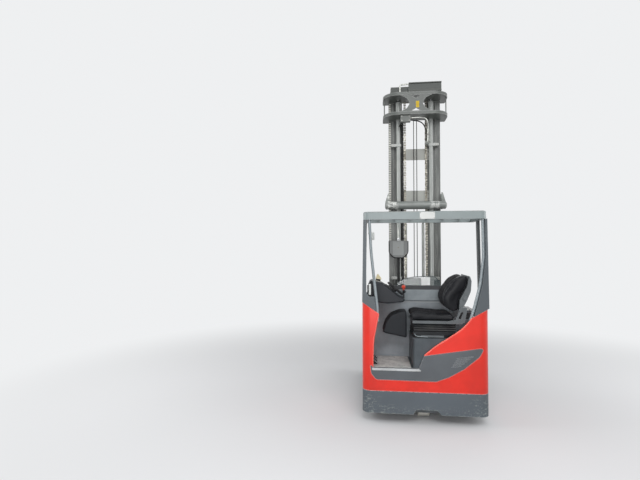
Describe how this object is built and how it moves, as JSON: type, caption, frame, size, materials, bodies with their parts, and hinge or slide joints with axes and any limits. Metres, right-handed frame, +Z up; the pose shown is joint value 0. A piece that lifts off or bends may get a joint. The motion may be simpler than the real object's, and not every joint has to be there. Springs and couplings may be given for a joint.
{
  "type": "reach truck",
  "caption": "Electric reach truck with an open sideways cab, a three-stage mast that reaches forward between two support legs, and forks that shift and tilt.",
  "frame": {"origin": "centre of the bounding box on the floor under the truck", "axes": "+Z up, +Y forward in the direction of the forks, +X to the right when looking forward from the rear"},
  "size_m": [1.27, 2.481, 3.85],
  "materials": {
    "body_red": "glossy red paint with scuffs",
    "panel_grey": "satin dark grey paint",
    "skirt_grey": "scuffed dark grey paint",
    "guard_grey": "satin mid grey paint",
    "mast_grey": "dusty grey paint",
    "tie_grey": "pale grey-green paint",
    "cylinder_grey": "pale grey paint",
    "rod_chrome": "polished rod",
    "chain_steel": "oiled steel chain",
    "bright_tube": "satin bright tube",
    "step_aluminium": "worn aluminium",
    "battery_steel": "black steel tray",
    "cab_plastic": "grained dark grey plastic",
    "pod_plastic": "grained charcoal plastic",
    "mat_rubber": "worn dusty rubber",
    "seat_cover": "charcoal seat cover",
    "seat_plastic": "grey seat frame",
    "bellows_rubber": "black bellows",
    "knob_red": "red-orange knob",
    "screen_clear": "clear sheet",
    "wheel_tyre": "worn tan tread",
    "wheel_hub": "cast hub",
    "fork_steel": "black forks worn bright"
  },
  "bodies": {
    "chassis": {"rear_skirt": "skirt_grey", "body_shell": "body_red", "body_insert": "panel_grey", "step_strip": "step_aluminium", "chassis_frame": "skirt_grey", "cab_floor": "cab_plastic", "floor_mat": "mat_rubber", "front_wall": "cab_plastic", "seat_pedestal": "cab_plastic", "seat_base": "bellows_rubber", "seat_pan": "seat_plastic", "seat_cushion": "seat_cover", "seat_back": "seat_cover", "steering_pod": "pod_plastic", "stop_knob": "knob_red", "clear_screen": "screen_clear", "knee_pad": "pod_plastic", "pedals": "pod_plastic", "rear_pillars": "panel_grey", "grab_tubes": "bright_tube", "guard_roof": "guard_grey", "battery": "battery_steel", "battery_hood": "panel_grey", "support_legs": "skirt_grey", "reach_barrel": "cylinder_grey"},
    "drive_unit": {"drive_unit": "wheel_hub"},
    "drive_wheel": {"drive_tyre": "wheel_tyre", "drive_hub": "wheel_hub"},
    "load_wheel_left": {"load_tyre_left": "wheel_tyre", "load_hub_left": "wheel_hub"},
    "load_wheel_right": {"load_tyre_right": "wheel_tyre", "load_hub_right": "wheel_hub"},
    "steering_wheel": {"steering_wheel": "pod_plastic"},
    "mast_outer": {"outer_rails": "mast_grey", "reach_carriage": "mast_grey", "reach_rod": "rod_chrome", "mast_yoke": "mast_grey", "cross_tube": "mast_grey", "lift_barrels": "cylinder_grey", "hose_box": "mast_grey"},
    "mast_middle": {"middle_rails": "mast_grey", "middle_head": "mast_grey", "lift_rods": "rod_chrome", "lift_chains": "chain_steel"},
    "mast_inner": {"inner_rails": "mast_grey", "inner_ties": "tie_grey", "free_lift_barrels": "cylinder_grey"},
    "free_lift": {"free_lift_head": "rod_chrome"},
    "carriage": {"fork_carriage": "mast_grey"},
    "shifter": {"side_shifter": "mast_grey"},
    "fork_set": {"fork_frame": "mast_grey", "forks": "fork_steel"}
  },
  "joints": [
    {"name": "drive_steer", "type": "hinge", "parent": "chassis", "child": "drive_unit", "pos_m": [0, -0.9655, 0.376], "axis": [0, 0, 1], "range_deg": [-90, 90]},
    {"name": "drive_wheel_spin", "type": "hinge", "parent": "drive_unit", "child": "drive_wheel", "pos_m": [0, -0.9655, 0.1715], "axis": [1, 0, 0], "continuous": true},
    {"name": "load_wheel_left_spin", "type": "hinge", "parent": "chassis", "child": "load_wheel_left", "pos_m": [-0.5425, 0.4795, 0.1425], "axis": [1, 0, 0], "continuous": true},
    {"name": "load_wheel_right_spin", "type": "hinge", "parent": "chassis", "child": "load_wheel_right", "pos_m": [0.5425, 0.4795, 0.1425], "axis": [1, 0, 0], "continuous": true},
    {"name": "steering_wheel_turn", "type": "hinge", "parent": "chassis", "child": "steering_wheel", "pos_m": [-0.306, -0.9105, 1.316], "axis": [0.6428, 0, 0.766], "continuous": true},
    {"name": "mast_reach", "type": "slide", "parent": "chassis", "child": "mast_outer", "axis": [0, 1, 0], "range_m": [0, 0.56]},
    {"name": "middle_lift", "type": "slide", "parent": "mast_outer", "child": "mast_middle", "axis": [0, 0, 1], "range_m": [0, 2.85]},
    {"name": "inner_lift", "type": "slide", "parent": "mast_middle", "child": "mast_inner", "axis": [0, 0, 1], "range_m": [0, 2.85]},
    {"name": "fork_lift", "type": "slide", "parent": "mast_inner", "child": "carriage", "axis": [0, 0, 1], "range_m": [0, 2.9]},
    {"name": "free_lift_rise", "type": "slide", "parent": "mast_inner", "child": "free_lift", "axis": [0, 0, 1], "range_m": [0, 1.45]},
    {"name": "side_shift", "type": "slide", "parent": "carriage", "child": "shifter", "axis": [1, 0, 0], "range_m": [-0.075, 0.075]},
    {"name": "fork_tilt", "type": "hinge", "parent": "shifter", "child": "fork_set", "pos_m": [0, 0.038, 0.645], "axis": [1, 0, 0], "range_deg": [-2, 4]}
  ],
  "couplings": [
    {"joint": "inner_lift", "follows": "middle_lift", "ratio": 1},
    {"joint": "free_lift_rise", "follows": "fork_lift", "ratio": 0.5}
  ]
}
